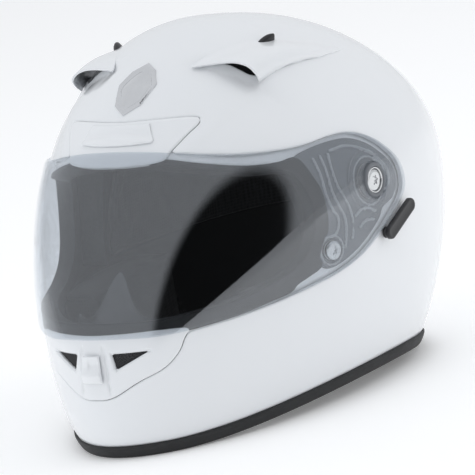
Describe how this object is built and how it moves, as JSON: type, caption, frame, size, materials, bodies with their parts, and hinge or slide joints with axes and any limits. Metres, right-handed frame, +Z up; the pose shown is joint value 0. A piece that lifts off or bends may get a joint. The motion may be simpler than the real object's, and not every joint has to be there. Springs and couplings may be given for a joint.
{
  "type": "motorcycle helmet",
  "caption": "Full-face motorcycle helmet with a glossy white shell, a swing-up clear visor on side pivots, sliding vents, padded liner and a chin strap.",
  "frame": {"origin": "on the plane that the base trim rests on, under the middle of the helmet's length and width", "axes": "+Z up towards the crown, -Y the way the wearer faces, +X the wearer's left"},
  "size_m": [0.2596, 0.3546, 0.262],
  "materials": {
    "white_gloss_paint": "white clear-coated gloss paint on a moulded shell",
    "visor_polycarbonate": "clear polycarbonate with a light smoke tint",
    "black_rubber": "matt black rubber",
    "grey_plastic": "moulded grey plastic",
    "black_plastic": "satin black plastic",
    "bright_steel": "bright steel",
    "chrome": "polished chrome",
    "black_foam": "black moulded impact foam",
    "charcoal_fabric": "charcoal moisture-wicking fabric over foam",
    "black_webbing": "woven black webbing"
  },
  "bodies": {
    "helmet": {"outer_shell": "white_gloss_paint", "base_trim": "black_rubber", "eye_port_gasket": "black_rubber", "chin_vent_cover": "white_gloss_paint", "chin_vent_mesh_left": "black_plastic", "chin_vent_mesh_right": "black_plastic", "brow_vent_cover": "white_gloss_paint", "front_badge": "chrome", "exhaust_grille_left": "black_plastic", "exhaust_grille_right": "black_plastic", "crown_liner": "black_foam", "chin_liner": "black_foam", "crown_pad": "charcoal_fabric", "cheek_pad_left": "charcoal_fabric", "cheek_pad_right": "charcoal_fabric", "neck_roll": "charcoal_fabric", "chin_curtain": "charcoal_fabric", "breath_deflector": "grey_plastic", "chin_strap_left": "black_webbing", "chin_strap_right": "black_webbing", "strap_snap": "black_plastic", "strap_rivet_left": "bright_steel", "strap_rivet_right": "bright_steel", "ratchet_plate_left": "grey_plastic", "pivot_hub_left": "grey_plastic", "pivot_screw_left": "bright_steel", "plate_screw_left": "bright_steel", "top_vent_cowl_left": "white_gloss_paint", "ratchet_plate_right": "grey_plastic", "pivot_hub_right": "grey_plastic", "pivot_screw_right": "bright_steel", "plate_screw_right": "bright_steel", "top_vent_cowl_right": "white_gloss_paint"},
    "visor_shield": {"visor": "visor_polycarbonate"},
    "chin_slider": {"chin_vent_slider": "white_gloss_paint"},
    "brow_slider": {"brow_vent_slider": "white_gloss_paint"},
    "top_slider_left": {"top_vent_slider_left": "black_plastic"},
    "top_slider_right": {"top_vent_slider_right": "black_plastic"},
    "lever_left": {"lock_lever_left": "black_plastic"},
    "lever_right": {"lock_lever_right": "black_plastic"},
    "strap_rings": {"d_ring_outer": "bright_steel", "d_ring_inner": "bright_steel"}
  },
  "joints": [
    {"name": "visor_swing", "type": "hinge", "parent": "helmet", "child": "visor_shield", "pos_m": [0, 0.0093, 0.143], "axis": [-1, 0, 0], "range_deg": [0, 33]},
    {"name": "chin_vent_slide", "type": "slide", "parent": "helmet", "child": "chin_slider", "axis": [0, -0.149, -0.9888], "range_m": [0, 0.006]},
    {"name": "brow_vent_slide", "type": "slide", "parent": "helmet", "child": "brow_slider", "axis": [0, 0.6842, 0.7293], "range_m": [0, 0.004]},
    {"name": "top_vent_slide_left", "type": "slide", "parent": "helmet", "child": "top_slider_left", "axis": [0.28, 0.96, 0], "range_m": [0, 0.006]},
    {"name": "top_vent_slide_right", "type": "slide", "parent": "helmet", "child": "top_slider_right", "axis": [-0.28, 0.96, 0], "range_m": [0, 0.006]},
    {"name": "lever_turn_left", "type": "hinge", "parent": "helmet", "child": "lever_left", "pos_m": [0.125, 0.0123, 0.1055], "axis": [-1, 0, 0], "range_deg": [0, 20], "stiffness_Nm_per_rad": 0.1},
    {"name": "lever_turn_right", "type": "hinge", "parent": "helmet", "child": "lever_right", "pos_m": [-0.125, 0.0123, 0.1055], "axis": [-1, 0, 0], "range_deg": [0, 20], "stiffness_Nm_per_rad": 0.1},
    {"name": "d_ring_swing", "type": "hinge", "parent": "helmet", "child": "strap_rings", "pos_m": [0.041, -0.0032, 0.0082], "axis": [-1, 0, 0], "range_deg": [0, 45]}
  ]
}
